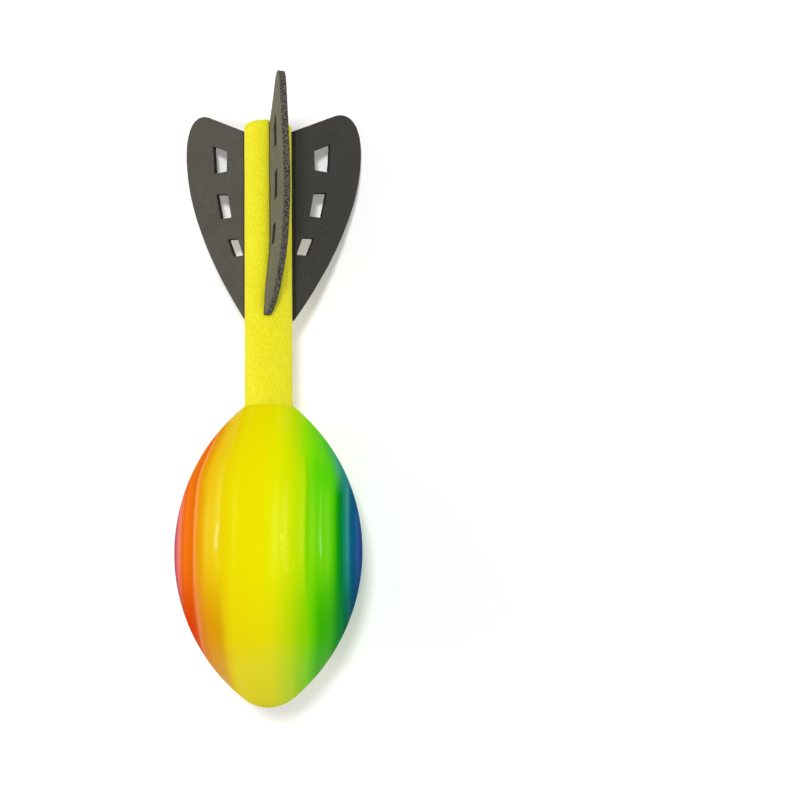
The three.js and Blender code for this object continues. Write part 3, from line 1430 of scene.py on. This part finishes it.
@dataclass(frozen=True)
class AirSlot:
    """One slanted slot in a fin, placed by its corner nearest the nose and the tail."""

    along_share: float
    up_share: float
    length: float
    width: float
    slant_deg: float
    flare_deg: float
    rake_deg: float
    corner_round: float = 0.6
    corner_steps: int = 4

    def loop(
        self, root_front: float, root_length: float, inner: float, height: float
    ) -> list[Vector]:
        """The slot's closed outline: x from the tail's axis and y along it.

        Args:
            root_front: Where the fin's root starts along the axis.
            root_length: The root's length.
            inner: The tail's radius.
            height: The fin's height above the tail.

        Returns:
            The outline with its corners rounded.
        """
        slant = math.tan(math.radians(self.slant_deg))
        outer_slant = math.tan(math.radians(self.slant_deg + self.flare_deg))
        rake = math.tan(math.radians(self.rake_deg))
        front = root_front + self.along_share * root_length
        near = inner + self.up_share * height
        far = near + self.width
        far_length = self.length + rake * (self.width - slant * self.length)
        far_length /= 1 - rake * outer_slant
        corners = [
            Vector((near, front)),
            Vector((near + slant * self.length, front + self.length)),
            Vector((far + outer_slant * far_length, front + far_length)),
            Vector((far, front)),
        ]
        found: list[Vector] = []
        for i, corner in enumerate(corners):
            before = corner + (corners[i - 1] - corner).normalized() * self.corner_round
            after = corner + (corners[(i + 1) % 4] - corner).normalized() * self.corner_round
            found += bezier([before, corner, after], self.corner_steps)
        return found


FIN_SLOTS = (
    AirSlot(0.349, 0.078, 9.6, 6.2, 20.5, 2.3, 4),
    AirSlot(0.562, 0.262, 13.1, 7.2, 10.5, 1.7, 8),
    AirSlot(0.815, 0.336, 11.1, 8.5, -1, 5, 26),
)


@dataclass
class SheetFin(Piece):
    """A fin die-cut from foam sheet, with three air slots and the tab that sits in the tail's slit.

    The shares place the handles of its outline's curves. Its cut is ragged outside the tail, mostly
    inwards. Its free sheet waves, and the wave's size is its length outwards and along the tail.
    """

    slot: str = "fin_foam"
    turn_deg: float = 0.0
    lean: Lean = Lean()
    thickness: float = 3.0
    tail_radius: float = 12.5
    tail_reach: float = 225.0
    root_length: float = 102.5
    inset: float = 1.4
    height: float = 43.2
    front_height: float = 1.8
    tip_overhang: float = 14.7
    tip_drop: float = 11.2
    wide_setback: float = 19.5
    tab_depth: float = 4.0
    tab_inset: float = 3.0
    shoulder: float = 0.1
    corner_share: float = 0.92
    straight_share: float = 0.9
    lobe_shares: tuple[float, float] = (0.55, 0.7)
    wide_share: float = 0.21
    front_shares: tuple[float, float] = (0.8, 0.463)
    curve_steps: tuple[int, int, int] = (14, 24, 60)
    softening: float = 0.32
    free_start: float = 1.0
    rag: float = 0.15
    rag_rise: float = 8.0
    rag_inward: float = 0.6
    rags_to_mm: float = 1.1
    rag_shift: tuple[float, float, float] = (31.0, 0.0, 0.0)
    wave: float = 0.44
    wave_size: tuple[float, float] = (24.0, 30.0)
    seed: float = 0.0
    sharp_deg: float = 50.0
    # painted shade: the darker copy of the skin is on top of the right fin
    faces: tuple[SheetSkin, SheetSkin] = (ShadedSheetSkin(), SheetSkin())
    # painted shade: the slot walls take the darker copy of the cut foam
    cuts: tuple[CutFoam, CutFoam] = (CutFoam(), ShadedSlotFoam())

    @property
    def root_rear(self) -> float:
        """Where the fin's root ends along the axis."""
        return self.tail_reach - self.inset

    @property
    def root_front(self) -> float:
        """Where the fin's root starts along the axis."""
        return self.root_rear - self.root_length

    def outline(self) -> list[Vector]:
        """Draws the fin and its tab.

        Returns:
            The points, x from the tail's axis and y along it.
        """
        shoulder = self.tail_radius + self.shoulder
        tab = self.tail_radius - self.tab_depth
        tab_front = self.root_front + self.tab_inset
        tip_y = self.root_rear + self.tip_overhang
        wide_x = self.tail_radius + self.height
        front_top = Vector((self.tail_radius + self.front_height, self.root_front))
        root = Vector((self.tail_radius, self.root_rear))
        tip = Vector((wide_x - self.tip_drop, tip_y))
        corner = Vector((self.tail_radius + self.corner_share * (tip.x - self.tail_radius), tip_y))
        wide = Vector((wide_x, tip_y - self.wide_setback))
        chord = wide.y - front_top.y
        rise = wide.x - front_top.x
        lobe_in = Vector((tip.x + self.lobe_shares[0] * self.tip_drop, tip.y))
        lobe_out = Vector((wide.x, wide.y + self.lobe_shares[1] * self.wide_setback))
        lead_in = Vector((wide.x, wide.y - self.wide_share * chord))
        lead_out = front_top + Vector((self.front_shares[0] * rise, self.front_shares[1] * chord))
        rear_steps, lobe_steps, lead_steps = self.curve_steps
        return [
            Vector((tab, tab_front)),
            Vector((tab, self.root_rear)),
            root,
            *bezier([root.lerp(corner, self.straight_share), corner, tip], rear_steps),
            *bezier([tip, lobe_in, lobe_out, wide], lobe_steps)[1:],
            *bezier([wide, lead_in, lead_out, front_top], lead_steps)[1:],
            Vector((shoulder, self.root_front)),
            Vector((shoulder, tab_front)),
        ]

    def bend(self, shape: bmesh.types.BMesh) -> None:
        """Gives the flat sheet its ragged cut, its slight waviness and its place round the tail.

        Args:
            shape: The flat sheet.
        """
        start, end = self.tail_radius + self.free_start, self.tail_radius + self.height
        width, length = self.wave_size
        for vert in shape.verts:
            reach, along, lift = vert.co
            free = smoothstep(reach, start, end)
            if any(face.material_index % 2 for face in vert.link_faces):
                x, y, z = (n * self.rags_to_mm for n in (reach, along, lift))
                where = Vector((x, y, z + self.seed))
                torn = self.rag * min(1.0, free * self.rag_rise)
                vert.co.x += torn * (noise.noise(where) - self.rag_inward)
                other = noise.noise(where + Vector(self.rag_shift))
                vert.co.y += torn * (other - self.rag_inward)
            slow = noise.noise(Vector((reach / width, along / length, self.seed)))
            vert.co.z += self.wave * slow * free
        self.carry(shape)

    def carry(self, shape: bmesh.types.BMesh) -> None:
        """Takes a flat shape to the fin's place round the tail."""
        for vert in shape.verts:
            vert.co = self.lean.carried(vert.co, math.radians(self.turn_deg))

    def build(self) -> bpy.types.Object:
        """Builds the fin in its place round the tail.

        Returns:
            The fin.
        """
        sizes = (self.root_front, self.root_length, self.tail_radius, self.height)
        holes = [slot.loop(*sizes) for slot in FIN_SLOTS]
        shape = CutSheet(self.outline(), holes, self.thickness, self.softening).shape()
        self.bend(shape)
        finishes = [self.faces[0], self.cuts[0], self.faces[1], self.cuts[1]]
        return self.hand_over(self.cast(shape, finishes))

    def slit(self, clearance: float, overrun: float, step: float = 3.0) -> bpy.types.Object:
        """The block that cuts this fin's slit in the tail.

        Args:
            clearance: The gap left beside the tab.
            overrun: How far the block runs past the tail.
            step: The most between points of the block.

        Returns:
            The block, where it cuts; it is taken away after the cut.
        """
        floor = self.tail_radius - self.tab_depth - clearance
        front = self.root_front + self.tab_inset - clearance
        rim = self.tail_radius + overrun
        rear = self.tail_reach + overrun
        loop = [Vector(p) for p in ((floor, front), (rim, front), (rim, rear), (floor, rear))]
        width = self.thickness + 2 * clearance
        block = CutSheet(loop, [], width, edge_step=step, grid_step=step).shape()
        self.carry(block)
        return self.cast(block, [])


TOP_LEAN = Lean(
    front_deg=3.5,
    rear_deg=18.0,
    run=41.0,
    tilts=(
        (121.1, 56.0), (126.0, 45.0), (132.0, 36.0), (138.0, 30.0), (145.0, 25.4), (152.0, 22.3),
        (160.0, 20.2), (180.0, 18.0), (205.0, 15.3), (223.6, 13.5), (238.3, 13.0),
    ),
)


@dataclass
class TailTube(Piece):
    """The thick foam tube that joins the head and the fins, with a slit for each fin's tab.

    Its surface sags a little outside the head, on the whole and in dents of a width and a length.
    """

    name: str = "tail_foam_tube"
    node: str = "tail_tube"
    slot: str = "tail_foam"
    radius: float = 12.5
    bore_radius: float = 4.12
    front: float = 32.6
    reach: float = 225.0
    rim_round: float = 1.1
    bore_round: float = 0.7
    rim_steps: int = 8
    bore_steps: int = 5
    side_step: float = 3.0
    bore_step: float = 12.0
    steps_round: int = 120
    slit_gap: float = 0.10
    slit_overrun: float = 2.0
    sag: float = 0.10
    sag_start: float = 77.6
    sag_whole: float = 0.4
    dent_size: tuple[float, float] = (9.0, 14.0)
    finish: TubeFoam = TubeFoam()

    def profile(self) -> list[Vector]:
        """Draws the cut through the tube's one side, as a closed outline.

        Returns:
            Points with the distance from the axis and the place along it.
        """
        front_in = Vector((self.bore_radius, self.front))
        front_out = Vector((self.radius, self.front))
        side_end = Vector((self.radius, self.reach - self.rim_round))
        bore_end = Vector((self.bore_radius, self.reach - self.bore_round))
        rim_x, bore_x = self.radius - self.rim_round, self.bore_radius + self.bore_round
        square = math.pi / 2
        outline = [front_in, front_out, *straight(front_out, side_end, self.side_step)]
        outline += arc(rim_x, side_end.y, self.rim_round, 0, square, self.rim_steps)
        outline += arc(bore_x, bore_end.y, self.bore_round, square, math.pi, self.bore_steps)
        outline += straight(bore_end, front_in, self.bore_step)
        return outline

    def build(self, fins: Iterable[SheetFin]) -> bpy.types.Object:
        """Builds the tube and cuts the slits of its fins.

        Args:
            fins: The fins that the tube holds.

        Returns:
            The finished tube.
        """
        shape = spun(self.profile(), self.steps_round, closed=True)
        for vert in shape.verts:
            out = Vector((vert.co.x, 0, vert.co.z))
            if out.length > self.radius - self.sag and vert.co.y > self.sag_start:
                dent = dimple(vert.co, self.dent_size)
                vert.co += out.normalized() * self.sag * (dent - self.sag_whole)
        tube = self.cast(shape, [self.finish])
        blocks = [fin.slit(self.slit_gap, self.slit_overrun) for fin in fins]
        for block in blocks:
            cutter = tube.modifiers.new(block.name, "BOOLEAN")
            cutter.operation = "DIFFERENCE"
            cutter.solver = "EXACT"
            cutter.object = block
        bpy.context.view_layer.update()
        seen = tube.evaluated_get(bpy.context.evaluated_depsgraph_get())
        slit_mesh = bpy.data.meshes.new_from_object(seen)
        tube.modifiers.clear()
        tube.data = slit_mesh
        self.smooth(slit_mesh)
        for block in blocks:
            bpy.data.objects.remove(block)
        return self.hand_over(tube)


@dataclass
class CoreTube(Piece):
    """The stiffening tube inside the tail."""

    name: str = "tail_core_tube"
    node: str = "core_tube"
    slot: str = "core_plastic"
    radius: float = 4.0
    wall: float = 1.0
    front: float = 32.6
    rear: float = 211.0
    edge_round: float = 0.2
    edge_steps: int = 3
    steps_round: int = 64
    finish: CorePlastic = CorePlastic()

    def build(self) -> bpy.types.Object:
        """Builds the tube, with the edges of its cut ends just broken.

        Returns:
            The tube.
        """
        inner = self.radius - self.wall
        r = self.edge_round
        corners = (
            (self.radius - r, self.front + r, -math.pi / 2, 0.0),
            (self.radius - r, self.rear - r, 0.0, math.pi / 2),
            (inner + r, self.rear - r, math.pi / 2, math.pi),
            (inner + r, self.front + r, math.pi, math.pi * 3 / 2),
        )
        outline = [p for x, y, *turn in corners for p in arc(x, y, r, *turn, self.edge_steps)]
        shape = spun(outline, self.steps_round, closed=True)
        return self.hand_over(self.cast(shape, [self.finish]))


@dataclass(frozen=True)
class Lamp:
    """A flat lamp: its place, the point it faces, its length and width, watts and if it mirrors."""

    place: tuple[float, float, float]
    target: tuple[float, float, float]
    size: tuple[float, float]
    watts: float
    mirrored: bool = False


class Softbox(Enum):
    """The studio's lamps."""

    KEY = Lamp((0.0, 0.29, 1.18), (0.0, -0.02, 0.03), (0.17, 0.17), 7.9)
    SIDE = Lamp((-1.05, 0.05, 0.34), (0.0, -0.02, 0.03), (0.9, 0.4), 3.0)
    FILL = Lamp((1.05, 0.0, 0.32), (0.0, -0.02, 0.03), (0.9, 0.4), 1.6)
    FRONT = Lamp((0.0, -0.98, 0.36), (0.0, -0.08, 0.03), (0.4, 0.7), 2.1)
    LEFT_GLINT = Lamp((-0.881, 0.10, 0.571), (-0.02, -0.068, 0.09), (0.26, 0.05), 1.5, True)
    RIGHT_GLINT = Lamp((0.969, 0.014, 0.416), (0.03, -0.072, 0.086), (0.26, 0.04), 1.5, True)

    def hang(self) -> None:
        """Hangs the lamp, with its length along the toy."""
        kind = self.value
        data = bpy.data.lights.new(self.name.lower(), "AREA")
        data.shape = "RECTANGLE"
        data.size_y, data.size = kind.size
        data.energy = kind.watts
        lamp = placed(self.name.lower(), data)
        lamp.location = kind.place
        back = (Vector(kind.place) - Vector(kind.target)).normalized()
        along = (Vector((0, 1, 0)) - back * back.y).normalized()
        across = along.cross(back)
        lamp.rotation_euler = Matrix((across, along, back)).transposed().to_euler()
        lamp.visible_glossy = kind.mirrored


@dataclass
class Studio:
    """The pale floor, the soft light all round, the lamps and the camera."""

    floor_side: float = 6.0
    floor_squares: int = 8
    floor_drop: float = 0.0004
    white: str = "ffffff"
    world_light: float = 0.17
    world_mirror: float = 0.06
    arch_front: Ease = Ease(-0.16, 0.12)
    arch_rear: Ease = Ease(0.80, 0.46, 3.0)
    camera_place: tuple[float, float, float] = (0.06869, -0.00406, 0.6197)
    camera_turn_deg: float = -0.784
    lens: float = 49.68
    sensor: float = 36.0

    def lay_floor(self) -> None:
        """Lays the floor under the toy, in even squares."""
        shape = bmesh.new()
        count = self.floor_squares
        bmesh.ops.create_grid(shape, x_segments=count, y_segments=count, size=self.floor_side / 2)
        mesh = meshed("studio_floor", shape)
        mesh.materials.append(PaleFloor().material())
        floor = placed("studio_floor", mesh)
        floor.location.z = -self.floor_drop

    def light_world(self) -> None:
        """Lights the toy evenly and shows white behind it; shiny skin mirrors a pale arch."""
        world = bpy.data.worlds.new("studio_world")
        world.use_nodes = True
        shop = NodeShop(world.node_tree)
        mirrored = shop.node("ShaderNodeLightPath", output="Is Glossy Ray")
        way = shop.node("ShaderNodeTexCoord", output="Generated")
        along = shop.node("ShaderNodeSeparateXYZ", {}, {0: way}, output=1)
        arch = self.arch_front.of(along) * self.arch_rear.of(along)
        mirror = mirrored * (self.world_mirror - self.world_light + arch)
        level = self.world_light + (1 - self.world_light) * shop.shown() + mirror
        inputs = {"Color": linear(self.white), "Strength": level}
        sky = shop.node("ShaderNodeBackground", {}, inputs)
        shop.node("ShaderNodeOutputWorld", {}, {"Surface": sky})
        bpy.context.scene.world = world

    def set_camera(self) -> None:
        """Sets the camera straight above, at the photograph's angle."""
        data = bpy.data.cameras.new("studio_camera")
        data.lens = self.lens
        data.sensor_width = self.sensor
        camera = placed("studio_camera", data)
        camera.location = self.camera_place
        camera.rotation_euler = (0, 0, math.radians(self.camera_turn_deg))
        bpy.context.scene.camera = camera

    def open(self) -> None:
        """Sets up everything round the toy."""
        self.set_camera()
        self.lay_floor()
        self.light_world()
        for lamp in Softbox:
            lamp.hang()
        bpy.context.scene.view_settings.view_transform = "Standard"


def main() -> None:
    """Builds the toy piece by piece and sets up the studio."""
    logging.basicConfig(level=logging.INFO, format="%(name)s: %(message)s")
    head = FootballHead().build()
    fins = [
        SheetFin(
            "fin_sheet_top",
            "fin_top",
            lean=TOP_LEAN,
            thickness=3.4,
            front_height=3.8,
            seed=2.3,
            # painted light on the top fin's left face, painted shade on its right face
            faces=(LitSheetSkin(), ShadedSheetSkin()),
        ),
        SheetFin("fin_sheet_left", "fin_left", turn_deg=-120, seed=5.1),
        SheetFin("fin_sheet_right", "fin_right", turn_deg=120, seed=7.7),
    ]
    tube = TailTube().build(fins)
    CoreTube().build()
    for fin in fins:
        fin.build()
    Studio().open()


if __name__ == "__main__":
    main()
